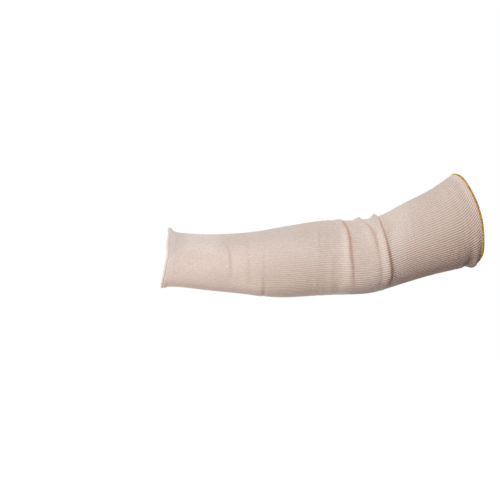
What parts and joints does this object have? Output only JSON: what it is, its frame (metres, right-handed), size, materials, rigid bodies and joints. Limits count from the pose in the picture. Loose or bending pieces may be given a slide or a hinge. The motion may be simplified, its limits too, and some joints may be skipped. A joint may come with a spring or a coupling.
{
  "type": "cotton arm sleeve",
  "caption": "Knitted cotton arm sleeve for work in its worn form: narrow rolled wrist edge, widening forearm, folds inside the elbow's bend and a yellow overlocked upper edge.",
  "frame": {"origin": "centre of the wrist opening, in the middle of its rolled edge", "axes": "+X runs along the forearm towards the elbow and the upper opening, +Z points to the inside of the elbow's bend, +Y to the back of the sleeve (the front seen in the picture faces -Y)"},
  "size_m": [0.4175, 0.1094, 0.1612],
  "materials": {
    "cotton_knit": "matte natural cream cotton, fine lengthwise knitted ribs",
    "cotton_edge": "matte rolled cotton edge, a little lighter than the tube",
    "yellow_thread": "golden yellow overlock thread, soft sheen"
  },
  "bodies": {
    "root": {"sleeve_body": "cotton_knit", "wrist_edge": "cotton_edge", "hem_overlock": "yellow_thread"}
  },
  "joints": []
}
